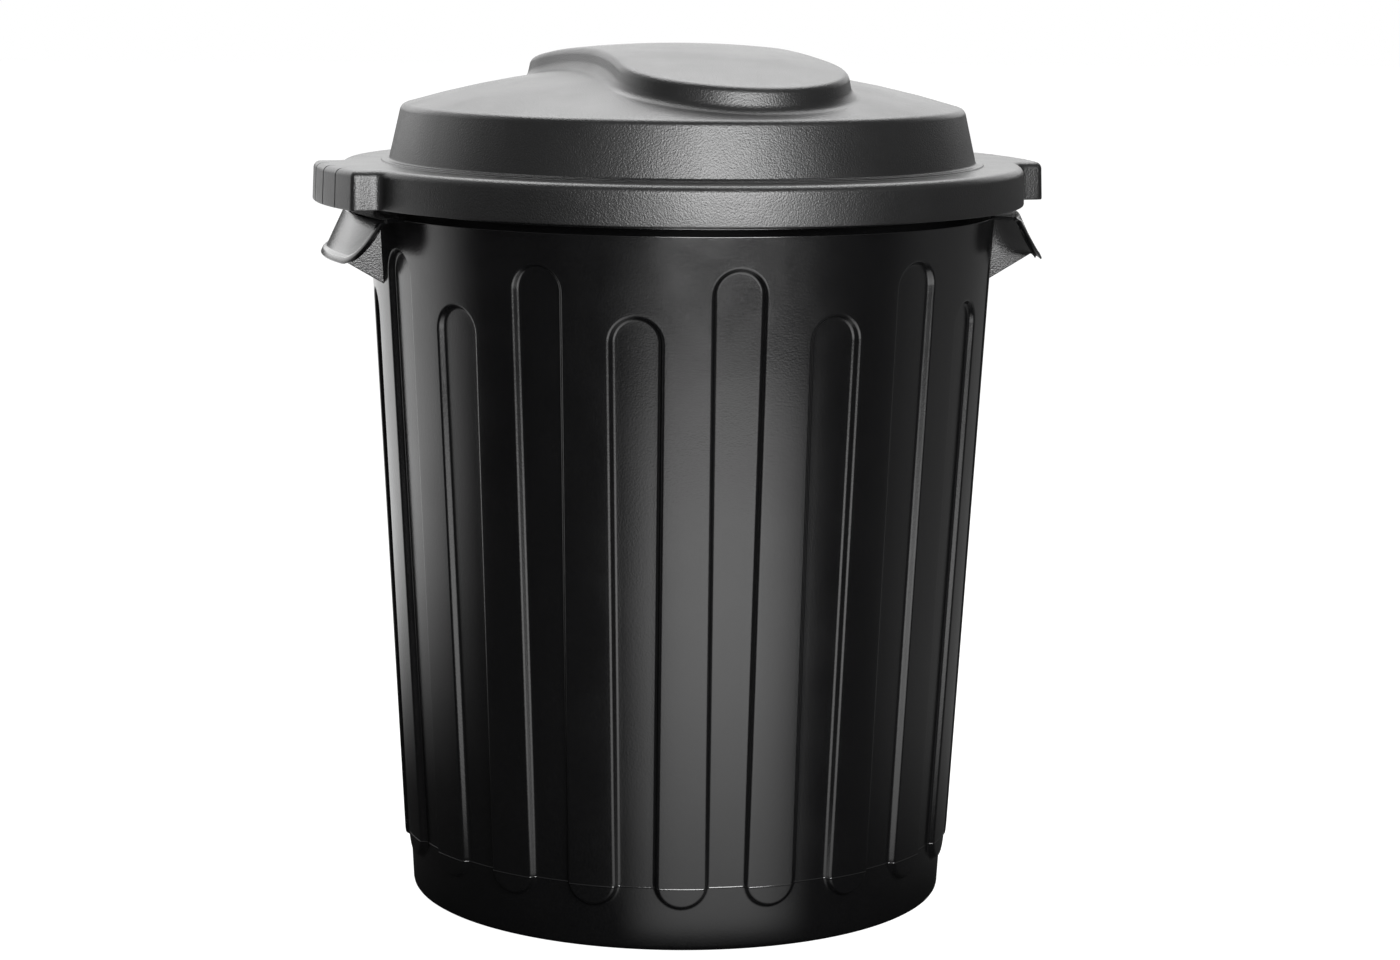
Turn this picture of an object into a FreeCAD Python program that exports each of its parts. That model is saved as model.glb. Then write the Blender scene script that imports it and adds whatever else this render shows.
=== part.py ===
import FreeCAD, Part
import math
import os
import Sketcher

# Round trash can with a fluted wall and a loose domed lid. The origin is on the floor under
# the centre of the base, +Z is up and the two carrying handles lie along X.

SIZES = {
    # bin wall: the recessed cone, and the proud ribs that stand out from it
    "rim_height": 514.0,
    "foot_radius": 188.5,
    "mouth_radius": 216.4,
    "wall": 2.6,
    "step_depth": 4.2,
    "step_slope": 1.0,
    # flutes between the ribs, tall and short in turn
    "flute_pairs": 10,
    "tall_drop": 51.0,
    "short_drop": 82.5,
    "flute_top_width": 29.0,
    "flute_foot_width": 22.0,
    "rib_end_height": 29.0,
    # base
    "base_thickness": 3.2,
    "base_bevel": 2.8,
    "base_rise": 5.0,
    "stand_width": 16.0,
    # rim, hidden under the lid
    "rim_width": 11.0,
    "rim_lip": 15.0,
    # carrying handles
    "handle_thickness": 2.6,
    "handle_width": 184.0,
    "shelf_gap": 6.0,
    "shelf_reach": 17.0,
    "flap_drop": 32.0,
    "flap_flare": 15.0,
    "flap_shoulder": 3.0,
    "bead_width": 5.0,
    "bead_thickness": 1.8,
    "gusset_thickness": 2.4,
    "gusset_drop": 49.0,
    # lid
    "lid_wall": 2.5,
    "lid_turn": 9.0,
    "lid_play": 4.9,
    "skirt_height": 26.5,
    "skirt_draft": 1.0,
    "skirt_bevel": 3.4,
    "flange_width": 34.0,
    "crown_lean": 8.5,
    "crown_height": 38.5,
    "crown_bevel": 1.6,
    "dome_rise": 29.0,
    "ring_height": 1.2,
    "ring_width": 5.0,
    # lifting ears on the lid
    "ear_reach": 19.0,
    "ear_angle": 25.6,
    "ear_corner": 0.6,
    "ear_root": 4.0,
    "groove_angle": 6.3,
    "groove_width": 1.4,
    "groove_depth": 1.2,
    # waisted grip on the dome
    "grip_margin": 14.5,
    "grip_lobe_radius": 84.5,
    "grip_neck_radius": 780.0,
    "grip_lift": 14.5,
    "grip_draft": 12.0,
    "grip_bevel": 3.4,
    "grip_foot_bevel": 4.8,
}

# how far a cutting shape runs past what it cuts, and how near counts as touching
CUT_PAST = 3.0
TOUCH = 0.05
# least round and least bevel on the inner side of a wall
LEAST_ROUND = 1.0
LEAST_BEVEL = 0.5

doc = FreeCAD.newDocument("trash_can")
sheet = doc.addObject("Spreadsheet::Sheet", "Sizes")
for row, (alias, value) in enumerate(SIZES.items(), 1):
    sheet.set(f"A{row}", alias)
    sheet.set(f"B{row}", str(value))
    sheet.setAlias(f"B{row}", alias)
doc.recompute()


def value_of(expression):
    return float(sheet.evalExpression(expression))


def origin_item(body, role):
    return next(item for item in body.Origin.OriginFeatures if item.Role == role)


def draw_outline(sketch, corners):
    """Close an outline through corners (x, y) given as expressions. A third item
    (centre x, centre y, fixed, turn) bends the side to the next corner into an arc."""
    count = len(corners)
    places = [FreeCAD.Vector(value_of(c[0]), value_of(c[1]), 0) for c in corners]
    starts = []
    ends = []
    bends = []
    for i, corner in enumerate(corners):
        a = places[i]
        b = places[(i + 1) % count]
        if len(corner) == 2:
            side = sketch.addGeometry(Part.LineSegment(a, b))
            starts.append((side, 1))
            ends.append((side, 2))
            continue
        centre_x, centre_y, fixed, turn = corner[2]
        centre = FreeCAD.Vector(value_of(centre_x), value_of(centre_y), 0)
        first, last = (a, b) if turn > 0 else (b, a)
        angles = [math.atan2(p.y - centre.y, p.x - centre.x) for p in (first, last)]
        if angles[1] < angles[0]:
            angles[1] += 2 * math.pi
        circle = Part.Circle(centre, FreeCAD.Vector(0, 0, 1), (a - centre).Length)
        side = sketch.addGeometry(Part.ArcOfCircle(circle, *angles))
        starts.append((side, 1 if turn > 0 else 2))
        ends.append((side, 2 if turn > 0 else 1))
        bends.append((side, fixed, centre_x if fixed == "X" else centre_y))
    for i, corner in enumerate(corners):
        sketch.addConstraint(Sketcher.Constraint("Coincident", *ends[i - 1], *starts[i]))
        fix_point(sketch, starts[i], "X", corner[0])
        fix_point(sketch, starts[i], "Y", corner[1])
    for side, fixed, expression in bends:
        fix_point(sketch, (side, 3), fixed, expression)


def fix_point(sketch, point, axis, expression):
    """Hold one coordinate of a sketch point at an expression."""
    if expression == "0":
        line = -2 if axis == "X" else -1
        sketch.addConstraint(Sketcher.Constraint("PointOnObject", *point, line))
        return
    distance = Sketcher.Constraint("Distance" + axis, -1, 1, *point, value_of(expression))
    index = sketch.addConstraint(distance)
    sketch.setExpression(f"Constraints[{index}]", expression)


def about(axis):
    """Placement turned a little about an axis, which an expression for its angle then keeps."""
    direction = {"x": (1, 0, 0), "y": (0, 1, 0), "z": (0, 0, 1)}[axis]
    return FreeCAD.Placement(FreeCAD.Vector(), FreeCAD.Rotation(FreeCAD.Vector(*direction), 1))


def attach(item, plane, turn=None, shift=None):
    """Attach to a plane; turn is (axis, angle) and shift is {axis: distance}, in its own axes."""
    item.AttachmentSupport = (plane, [""])
    item.MapMode = "FlatFace"
    if turn:
        item.AttachmentOffset = about(turn[0])
        item.setExpression("AttachmentOffset.Rotation.Angle", turn[1])
    for axis, distance in (shift or {}).items():
        item.setExpression(f"AttachmentOffset.Base.{axis}", distance)


def turned_plane(body, name, plane, angle):
    """One of the body's upright origin planes, turned about Z."""
    turned = body.newObject("PartDesign::Plane", name)
    attach(turned, origin_item(body, plane), ("y", angle))
    doc.recompute()
    return turned


def new_sketch(body, name, plane, corners, turn=None, shift=None):
    sketch = body.newObject("Sketcher::SketchObject", name)
    attach(sketch, origin_item(body, plane) if isinstance(plane, str) else plane, turn, shift)
    draw_outline(sketch, corners)
    doc.recompute()
    return sketch


def revolve(body, name, sketch, angle="360"):
    """Turn a sketch about Z, evenly to both sides of its plane."""
    feature = body.newObject("PartDesign::Revolution", name)
    feature.Profile = sketch
    feature.ReferenceAxis = (sketch, ["V_Axis"])
    feature.Midplane = True
    feature.setExpression("Angle", angle)
    doc.recompute()
    return feature


def pattern_round(body, name, features, count):
    pattern = body.newObject("PartDesign::PolarPattern", name)
    pattern.Originals = features
    pattern.Axis = (origin_item(body, "Z_Axis"), [""])
    pattern.Angle = 360
    pattern.setExpression("Occurrences", count)
    body.Tip = pattern
    doc.recompute()
    return pattern


def level(edge, height):
    """Whether an edge lies flat at a height."""
    box = edge.BoundBox
    return abs(box.ZMin - height) < TOUCH and abs(box.ZMax - height) < TOUCH


def middle_of(edge):
    return edge.valueAt((edge.FirstParameter + edge.LastParameter) / 2)


def from_axis(edge):
    """Distance from the Z axis to the middle of an edge."""
    middle = middle_of(edge)
    return math.hypot(middle.x, middle.y)


def dress_edges(body, kind, name, size, amount, chosen):
    """Fillet or bevel the edges of the body's tip that the test picks."""
    base = body.Tip
    names = [f"Edge{i}" for i, edge in enumerate(base.Shape.Edges, 1) if chosen(edge)]
    feature = body.newObject(kind, name)
    feature.Base = (base, names)
    feature.setExpression(size, amount)
    doc.recompute()


def round_edges(body, name, radius, chosen):
    dress_edges(body, "PartDesign::Fillet", name, "Radius", radius, chosen)


def bevel_edges(body, name, size, chosen):
    dress_edges(body, "PartDesign::Chamfer", name, "Size", size, chosen)


def inner_bevel(size, inset):
    """Size of an outer bevel, set in by a wall."""
    return f"max({size} - {inset}; {LEAST_BEVEL})"


def cut_round(body, name, sketch, angle="360", axis="V_Axis"):
    """Cut by turning a sketch about Z or its own axis, evenly to both sides of its plane."""
    before = body.Tip.Shape.Volume
    feature = body.newObject("PartDesign::Groove", name)
    feature.Profile = sketch
    feature.ReferenceAxis = (sketch, [axis])
    feature.Midplane = True
    feature.setExpression("Angle", angle)
    doc.recompute()
    assert feature.Shape.Volume < before, name + " cut nothing"
    return feature


def cut_through(body, name, sketch):
    """Cut outward along the sketch's normal, through everything."""
    before = body.Tip.Shape.Volume
    feature = body.newObject("PartDesign::Pocket", name)
    feature.Profile = sketch
    feature.Type = "ThroughAll"
    feature.Reversed = True
    doc.recompute()
    assert feature.Shape.Volume < before, name + " cut nothing"
    return feature


# Bin: the same fluted form serves for the outside and, set in by the wall, for the inside.

RIM_RADIUS = "(Sizes.mouth_radius + Sizes.step_depth + Sizes.rim_width)"
SLOPE = "atan((Sizes.mouth_radius - Sizes.foot_radius) / Sizes.rim_height)"
SETTLE = "(sqrt(1 + Sizes.step_slope ^ 2) - Sizes.step_slope)"


def flute_outline(drop, inset, spread):
    """Round-topped flute that widens at its foot around the ends of the two ribs beside it.
    spread widens it evenly, as the sloping step does with height above the floor."""
    grown = f"({spread} + {inset} * {SETTLE})"
    half_top = f"(Sizes.flute_top_width / 2 + {grown})"
    half_foot = f"(Sizes.flute_foot_width / 2 + {grown})"
    run = "Sizes.step_depth * Sizes.step_slope"
    top = f"((Sizes.rim_height - {drop}) / cos({SLOPE}))"
    top_centre = f"({top} - Sizes.flute_top_width / 2 - {run})"
    rib = "(Sizes.foot_radius * sin(90 / Sizes.flute_pairs))"
    end_radius = f"({rib} - Sizes.flute_foot_width / 2)"
    end_centre = f"(Sizes.rib_end_height + {end_radius})"
    tip = f"({end_centre} - {rib} + {half_foot})"
    side = f"({rib} + {CUT_PAST})"
    below = f"-{CUT_PAST}"
    return [
        (half_top, top_centre, ("0", top_centre, "Y", 1)),
        (f"-{half_top}", top_centre),
        (f"-{half_foot}", end_centre, (f"-{rib}", end_centre, "X", -1)),
        (f"-{rib}", tip),
        (f"-{side}", tip),
        (f"-{side}", below),
        (side, below),
        (side, tip),
        (rib, tip, (rib, end_centre, "X", -1)),
        (half_foot, end_centre),
    ]


def fluted_form(name, inset, floor):
    """Solid fluted cup form, set in from the outside by inset, standing on floor."""
    body = doc.addObject("PartDesign::Body", name)
    radius = f"(Sizes.foot_radius - {inset} / cos({SLOPE}))"
    rim = "Sizes.rim_height" if inset == "0" else f"(Sizes.rim_height + {CUT_PAST})"

    def cone(extra):
        return [
            ("0", floor),
            (f"{radius} + tan({SLOPE}) * {floor} + {extra}", floor),
            (f"{radius} + tan({SLOPE}) * {rim} + {extra}", rim),
            ("0", rim),
        ]

    proud = new_sketch(body, name + "_proud_profile", "XZ_Plane", cone("Sizes.step_depth"))
    revolve(body, name + "_proud", proud)
    for kind, angle in (("short", "0"), ("tall", "180 / Sizes.flute_pairs")):
        plane = turned_plane(body, f"{name}_{kind}_plane", "YZ_Plane", angle)
        ends = []
        for out in (f"-{CUT_PAST}", f"(Sizes.step_depth + {CUT_PAST})"):
            outline = flute_outline(f"Sizes.{kind}_drop", inset, f"{out} * Sizes.step_slope")
            shift = {
                "y": f"-sin({SLOPE}) * {out}",
                "z": f"{radius} + cos({SLOPE}) * {out}",
            }
            ends.append(new_sketch(body, f"{name}_{kind}_flute", plane, outline, ("x", SLOPE), shift))
        flute = body.newObject("PartDesign::SubtractiveLoft", f"{name}_{kind}_cut")
        flute.Profile = ends[0]
        flute.Sections = [ends[1]]
        flute.Ruled = True
        doc.recompute()
        pattern_round(body, f"{name}_{kind}_flutes", [flute], "Sizes.flute_pairs")
    recessed = new_sketch(body, name + "_recessed_profile", "XZ_Plane", cone("0"))
    revolve(body, name + "_recessed", recessed)
    return body


def raise_base(body, floor):
    """Lift the middle of the floor, which leaves a ring to stand on."""
    ring = "(Sizes.foot_radius - Sizes.stand_width)"
    raised = f"({floor} + Sizes.base_rise)"
    corners = [("0", floor), (ring, floor), (f"{ring} - Sizes.base_rise", raised), ("0", raised)]
    sketch = new_sketch(body, body.Name + "_base_profile", "XZ_Plane", corners)
    cut_round(body, body.Name + "_base", sketch)


def add_rim(body):
    """Turned-out rim with a lip bent down from it."""
    inner = "Sizes.mouth_radius"
    top = "Sizes.rim_height"
    corners = [
        (inner, top),
        (RIM_RADIUS, top),
        (RIM_RADIUS, f"{top} - Sizes.rim_lip"),
        (f"{RIM_RADIUS} - Sizes.wall", f"{top} - Sizes.rim_lip"),
        (f"{RIM_RADIUS} - Sizes.wall", f"{top} - Sizes.wall"),
        (inner, f"{top} - Sizes.wall"),
    ]
    revolve(body, "rim", new_sketch(body, "rim_profile", "XZ_Plane", corners))


def proud_radius(height):
    return f"(Sizes.foot_radius + Sizes.step_depth + tan({SLOPE}) * {height})"


# Carrying handle: a shelf out from the wall just under the lid's skirt, a flap that flares down
# from it, with a beaded edge, and two gussets under the shelf that stand on the ribs beside a
# short flute. The flap is turned too wide by a spare angle and trimmed to its outline.

LID_FOOT = "(Sizes.rim_height + Sizes.lid_wall - Sizes.skirt_height)"
SHELF = f"({LID_FOOT} - Sizes.shelf_gap)"
SPARE_ANGLE = "4 deg"
FLAP_LEAN = "(Sizes.flap_flare / Sizes.flap_drop)"
FLAP_ACROSS = f"(Sizes.handle_thickness * sqrt(1 + {FLAP_LEAN} ^ 2))"
SHELF_RADIUS = f"({proud_radius(SHELF)} + Sizes.shelf_reach)"
FLAP_FOOT = f"({SHELF} - Sizes.flap_drop)"
HANDLE_ANGLE = f"(2 * asin(Sizes.handle_width / 2 / {SHELF_RADIUS}) + {SPARE_ANGLE})"


def flap_radius(height, depth):
    """Radius of the flap at a height, at a depth measured level from its outer face."""
    return f"({SHELF_RADIUS} + {FLAP_LEAN} * ({SHELF} - {height}) - {depth})"


def flap_edge(margin):
    """Round-cornered lower outline of the flap, drawn in by a margin."""
    half = f"(Sizes.handle_width / 2 - {margin})"
    corner = f"(Sizes.flap_drop - Sizes.flap_shoulder - {margin})"
    foot = f"({FLAP_FOOT} + {margin})"
    turn_y = f"({foot} + {corner})"
    turn_x = f"({half} - {corner})"
    top = f"({SHELF} + {CUT_PAST})"
    return [
        (half, top),
        (f"-{half}", top),
        (f"-{half}", turn_y, (f"-{turn_x}", turn_y, "X", 1)),
        (f"-{turn_x}", foot),
        (turn_x, foot, (turn_x, turn_y, "X", 1)),
        (half, turn_y),
    ]


def carrying_handle(name):
    body = doc.addObject("PartDesign::Body", name)
    in_wall = "Sizes.wall / 2"
    bead = f"(Sizes.bead_thickness * sqrt(1 + {FLAP_LEAN} ^ 2))"
    strip = [
        (flap_radius(SHELF, f"{FLAP_ACROSS} / 2"), SHELF),
        (flap_radius(SHELF, f"-{bead}"), SHELF),
        (flap_radius(FLAP_FOOT, f"-{bead}"), FLAP_FOOT),
        (flap_radius(FLAP_FOOT, f"{FLAP_ACROSS} / 2"), FLAP_FOOT),
    ]
    revolve(body, "bead", new_sketch(body, "bead_profile", "XZ_Plane", strip), HANDLE_ANGLE)
    within = new_sketch(body, "bead_outline", "YZ_Plane", flap_edge("Sizes.bead_width"))
    cut_through(body, "bead_inside", within)
    wall_side = f"{proud_radius(SHELF)} - {in_wall}"
    under = f"({SHELF} - Sizes.handle_thickness)"
    flap = [
        (wall_side, SHELF),
        (SHELF_RADIUS, SHELF),
        (flap_radius(FLAP_FOOT, "0"), FLAP_FOOT),
        (flap_radius(FLAP_FOOT, FLAP_ACROSS), FLAP_FOOT),
        (flap_radius(under, FLAP_ACROSS), under),
        (wall_side, under),
    ]
    revolve(body, "flap", new_sketch(body, "flap_profile", "XZ_Plane", flap), HANDLE_ANGLE)
    outline = new_sketch(body, "flap_outline", "YZ_Plane", flap_edge("0"))
    beside = "Sizes.handle_width"
    above = f"({SHELF} + 2 * {CUT_PAST})"
    below = f"({FLAP_FOOT} - {CUT_PAST})"
    draw_outline(outline, [(beside, above), (f"-{beside}", above), (f"-{beside}", below), (beside, below)])
    doc.recompute()
    cut_through(body, "flap_trim", outline)
    low = f"({SHELF} - Sizes.gusset_drop)"
    tip = f"({FLAP_FOOT} + Sizes.handle_thickness)"
    web = f"({SHELF} - Sizes.handle_thickness / 2)"
    gusset = [
        (wall_side, web),
        (flap_radius(web, f"{FLAP_ACROSS} / 2"), web),
        (flap_radius(tip, f"{FLAP_ACROSS} / 2"), tip),
        (f"{proud_radius(low)} - {in_wall}", low),
    ]
    for side, angle in (("left", "90 / Sizes.flute_pairs"), ("right", "-90 / Sizes.flute_pairs")):
        plane = turned_plane(body, f"gusset_{side}_plane", "XZ_Plane", angle)
        pad = body.newObject("PartDesign::Pad", f"gusset_{side}")
        pad.Profile = new_sketch(body, f"gusset_{side}_outline", plane, gusset)
        pad.Midplane = True
        pad.setExpression("Length", "Sizes.gusset_thickness")
        doc.recompute()
    return body


def mirrored(name, source):
    copy = doc.addObject("Part::Mirroring", name)
    copy.Source = source
    copy.Normal = FreeCAD.Vector(1, 0, 0)
    return copy


def cut_out(name, base, tool):
    result = doc.addObject("Part::Cut", name)
    result.Base = base
    result.Tool = tool
    result.Label = name
    doc.recompute()
    return result


bin_outside = fluted_form("bin_outside", "0", "0")
bevel_edges(bin_outside, "base_corner", "Sizes.base_bevel", lambda edge: level(edge, 0))
raise_base(bin_outside, "0")
add_rim(bin_outside)
bin_inside = fluted_form("bin_inside", "Sizes.wall", "Sizes.base_thickness")
raise_base(bin_inside, "Sizes.base_thickness")
handle = carrying_handle("handle")
bin_mouldings = doc.addObject("Part::MultiFuse", "bin_mouldings")
bin_mouldings.Shapes = [bin_outside, handle, mirrored("handle_opposite", handle)]
bin_body = cut_out("bin_body", bin_mouldings, bin_inside)


# Lid: the same crowned form serves for the outside and, set in by the wall, for the inside.

SKIRT_RADIUS = f"({RIM_RADIUS} + Sizes.lid_play + Sizes.lid_wall)"
CROWN_FOOT_RADIUS = f"({SKIRT_RADIUS} - Sizes.flange_width)"
CROWN_RADIUS = f"({CROWN_FOOT_RADIUS} - Sizes.crown_lean)"
CROWN_SLOPE = "(Sizes.crown_lean / (Sizes.crown_height - Sizes.ring_height))"
# the bevels at the grip's top and foot take at most this share of its lift together
GRIP_WALL = 0.9


def dome_radius(inset):
    """Radius of the ball that the dome is cut from, through the crown's edge and the apex."""
    return f"((({CROWN_RADIUS} - {inset}) ^ 2 + Sizes.dome_rise ^ 2) / (2 * Sizes.dome_rise))"


def cut_to_ball(body, name, centre, radius):
    """Cut away all that stands above a ball, by a turn about a level line through its centre."""
    edge_height = f"({centre} + sqrt({radius} ^ 2 - {SKIRT_RADIUS} ^ 2))"
    above = f"({centre} + {radius} + Sizes.dome_rise + Sizes.crown_height)"
    outline = [
        (f"-{SKIRT_RADIUS}", edge_height, ("0", centre, "Y", -1)),
        (SKIRT_RADIUS, edge_height),
        (SKIRT_RADIUS, above),
        (f"-{SKIRT_RADIUS}", above),
    ]
    sketch = new_sketch(body, name + "_outline", "XZ_Plane", outline)
    ends = [FreeCAD.Vector(side * value_of(SKIRT_RADIUS), value_of(centre), 0) for side in (-1, 1)]
    axis = sketch.addGeometry(Part.LineSegment(*ends), True)
    for point, across in ((1, f"-{SKIRT_RADIUS}"), (2, SKIRT_RADIUS)):
        fix_point(sketch, (axis, point), "X", across)
        fix_point(sketch, (axis, point), "Y", centre)
    cut_round(body, name, sketch, f"2 * asin({SKIRT_RADIUS} / {radius})", "Axis0")


def lid_form(name, inset):
    body = doc.addObject("PartDesign::Body", name)
    foot = f"({LID_FOOT} - {inset})"
    flange = f"(Sizes.rim_height + Sizes.lid_wall - {inset})"
    ring = f"({flange} + Sizes.ring_height)"
    crown = f"({flange} + Sizes.crown_height)"
    apex = f"({crown} + Sizes.dome_rise)"
    ball = f"({apex} - {dome_radius(inset)})"
    skirt = f"({SKIRT_RADIUS} - {inset})"
    ring_radius = f"({CROWN_FOOT_RADIUS} + Sizes.ring_width - {inset})"
    profile = [
        ("0", foot),
        (skirt, foot),
        (f"{skirt} - Sizes.skirt_draft", flange),
        (ring_radius, flange),
        (ring_radius, ring),
        (f"{CROWN_FOOT_RADIUS} - {inset}", ring),
        (f"{CROWN_RADIUS} - {CROWN_SLOPE} * Sizes.dome_rise - {inset}", apex),
        ("0", apex),
    ]
    revolve(body, name + "_turned", new_sketch(body, name + "_profile", "XZ_Plane", profile))
    add_ears(body, inset, foot, flange)
    cut_to_ball(body, name + "_dome", ball, dome_radius(inset))
    crown_level = value_of(crown)
    bevel_edges(body, name + "_crown_bevel", inner_bevel("Sizes.crown_bevel", inset),
                lambda edge: level(edge, crown_level))
    add_grip(body, inset, crown, apex, ball)
    return body


def add_ears(body, inset, foot, flange):
    """Two lifting ears that widen the skirt."""
    reach = f"({SKIRT_RADIUS} + Sizes.ear_reach - {inset})"
    half = f"(Sizes.ear_angle / 2 - {inset} / {reach} * 180 / pi)"
    root = CROWN_RADIUS
    outline = [
        (f"{root} * cos({half})", f"-{root} * sin({half})"),
        (f"{reach} * cos({half})", f"-{reach} * sin({half})", ("0", "0", "X", 1)),
        (f"{reach} * cos({half})", f"{reach} * sin({half})"),
        (f"{root} * cos({half})", f"{root} * sin({half})"),
    ]
    ear = body.newObject("PartDesign::Pad", body.Name + "_ear")
    ear.Profile = new_sketch(body, body.Name + "_ear_outline", "XY_Plane", outline, None, {"z": foot})
    ear.setExpression("Length", f"{flange} - {foot}")
    doc.recompute()
    pattern_round(body, body.Name + "_ears", [ear], "2")
    tall_enough = value_of("Sizes.skirt_height / 2")
    between = value_of(f"{SKIRT_RADIUS} + Sizes.ear_reach / 2 - {inset}")
    top = value_of(flange)
    brim = value_of(f"{SKIRT_RADIUS} - Sizes.skirt_draft - Sizes.lid_wall - Sizes.ear_root")
    corner = f"max(Sizes.skirt_bevel + Sizes.ear_corner - {inset}; {LEAST_ROUND})"

    def is_upright(edge):
        return edge.BoundBox.ZLength > tall_enough and abs(edge.CenterOfMass.y) > TOUCH

    round_edges(body, body.Name + "_ear_corners", corner,
                lambda edge: is_upright(edge) and from_axis(edge) > between)
    round_edges(body, body.Name + "_ear_roots", f"Sizes.ear_root + {inset}",
                lambda edge: is_upright(edge) and from_axis(edge) < between)
    bevel_edges(body, body.Name + "_brim_bevel", inner_bevel("Sizes.skirt_bevel", inset),
                lambda edge: level(edge, top) and from_axis(edge) > brim)


def add_ear_grooves(body):
    """Three shallow grooves down the face of each ear and over its top edge."""
    reach = f"({SKIRT_RADIUS} + Sizes.ear_reach)"
    flange = "(Sizes.rim_height + Sizes.lid_wall)"
    depth = "Sizes.groove_depth"
    bevel = "Sizes.skirt_bevel"
    start = f"({reach} - 2 * {bevel})"
    clear = f"({reach} + {CUT_PAST})"
    above = f"({flange} + {CUT_PAST})"
    below = f"({LID_FOOT} - {CUT_PAST})"
    profile = [
        (clear, below),
        (clear, above),
        (start, above),
        (start, f"{flange} - {depth}"),
        (f"{reach} - {bevel}", f"{flange} - {depth}"),
        (f"{reach} - {depth}", f"{flange} - {bevel}"),
        (f"{reach} - {depth}", below),
    ]
    across = f"Sizes.groove_width / {reach} * 180 / pi"
    grooves = []
    for place, step in (("left", -1), ("middle", 0), ("right", 1)):
        plane = turned_plane(body, f"groove_plane_{place}", "XZ_Plane", f"{step} * Sizes.groove_angle")
        sketch = new_sketch(body, f"groove_profile_{place}", plane, profile)
        grooves.append(cut_round(body, f"groove_{place}", sketch, across))
    pattern_round(body, "ear_grooves", grooves, "2")


def add_grip(body, inset, crown, apex, ball):
    """Waisted grip across the dome, with a top that follows the dome."""
    lobe = f"(Sizes.grip_lobe_radius - {inset})"
    neck = f"(Sizes.grip_neck_radius + {inset})"
    half = f"({CROWN_RADIUS} - Sizes.grip_margin - Sizes.grip_lobe_radius)"
    aside = f"sqrt(({lobe} + {neck}) ^ 2 - {half} ^ 2)"
    meet_x = f"({aside} * {lobe} / ({lobe} + {neck}))"
    meet_y = f"({half} * {neck} / ({lobe} + {neck}))"
    outline = [
        (meet_x, meet_y, ("0", half, "Y", 1)),
        (f"-{meet_x}", meet_y, (f"-{aside}", "0", "X", -1)),
        (f"-{meet_x}", f"-{meet_y}", ("0", f"-{half}", "Y", 1)),
        (meet_x, f"-{meet_y}", (aside, "0", "X", -1)),
    ]
    top_radius = f"({dome_radius(inset)} + Sizes.grip_lift)"
    pad = body.newObject("PartDesign::Pad", body.Name + "_grip")
    pad.Profile = new_sketch(body, body.Name + "_grip_outline", "XY_Plane", outline, None, {"z": crown})
    pad.setExpression("Length", f"{apex} - {crown} + 2 * Sizes.grip_lift")
    pad.setExpression("TaperAngle", "-Sizes.grip_draft")
    doc.recompute()
    cut_to_ball(body, body.Name + "_grip_top", ball, top_radius)
    centre = FreeCAD.Vector(0, 0, value_of(ball))
    reach = value_of(f"{CROWN_RADIUS} - Sizes.crown_bevel - Sizes.lid_wall - {TOUCH}")

    def on_ball(edge, radius):
        height = middle_of(edge).distanceToPoint(centre)
        return abs(height - radius) < TOUCH and from_axis(edge) < reach

    bevel_edges(body, body.Name + "_grip_bevel", inner_bevel("Sizes.grip_bevel", inset),
                lambda edge: on_ball(edge, value_of(top_radius)))
    foot_bevel = f"min(Sizes.grip_foot_bevel; {GRIP_WALL} * Sizes.grip_lift - Sizes.grip_bevel)"
    bevel_edges(body, body.Name + "_grip_foot", foot_bevel,
                lambda edge: on_ball(edge, value_of(dome_radius(inset))))


lid_outside = lid_form("lid_outside", "0")
add_ear_grooves(lid_outside)
lid_inside = lid_form("lid_inside", "Sizes.lid_wall")
lid = cut_out("lid", lid_outside, lid_inside)
lid.Placement = about("z")
lid.setExpression("Placement.Rotation.Angle", "Sizes.lid_turn")
doc.recompute()

for item in doc.Objects:
    assert not {"Invalid", "Error"} & set(item.State), f"{item.Name} failed: {item.getStatusString()}"

os.makedirs("parts", exist_ok=True)
for piece in (bin_body, lid):
    shape = piece.Shape
    assert not shape.isNull() and shape.isValid() and len(shape.Solids) == 1, piece.Label
    print(piece.Label, round(shape.Volume), "mm3,", len(shape.Faces), "faces,", shape.BoundBox)
    shape.exportStep(f"parts/{piece.Label}.step")
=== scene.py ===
import math
from contextlib import contextmanager

import bpy
from mathutils import Euler, Matrix, Vector


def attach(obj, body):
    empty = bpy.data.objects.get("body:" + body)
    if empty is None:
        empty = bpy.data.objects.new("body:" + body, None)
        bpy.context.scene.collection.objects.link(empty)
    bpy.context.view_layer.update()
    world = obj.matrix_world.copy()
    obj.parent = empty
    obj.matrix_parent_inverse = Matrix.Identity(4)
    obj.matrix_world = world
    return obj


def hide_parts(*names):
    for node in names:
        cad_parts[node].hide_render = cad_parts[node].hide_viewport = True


# Round black trash can with a fluted wall and a loose domed lid, in metres, +Z up.

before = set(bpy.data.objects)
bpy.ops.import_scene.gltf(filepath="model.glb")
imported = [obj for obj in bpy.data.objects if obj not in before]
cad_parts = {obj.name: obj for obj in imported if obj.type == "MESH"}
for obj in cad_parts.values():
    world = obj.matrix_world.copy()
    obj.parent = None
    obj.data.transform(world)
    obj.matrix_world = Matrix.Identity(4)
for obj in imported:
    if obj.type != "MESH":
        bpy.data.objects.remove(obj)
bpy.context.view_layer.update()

# Sizes of the bin: wall, flutes, shoulder, rim and base.
RIM_HEIGHT = 0.514
FOOT_RADIUS = 0.1885
MOUTH_RADIUS = 0.2164
WALL = 0.0026
STEP = 0.0042
STEP_RUN = 0.0023
STEP_ROUND = 0.0024
FLUTE_PAIRS = 10
TALL_TOP = 0.463
SHORT_TOP = 0.4315
FLUTE_HALF_TOP = 0.0145
FLUTE_HALF_FOOT = 0.011
RIB_END = 0.029
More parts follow.
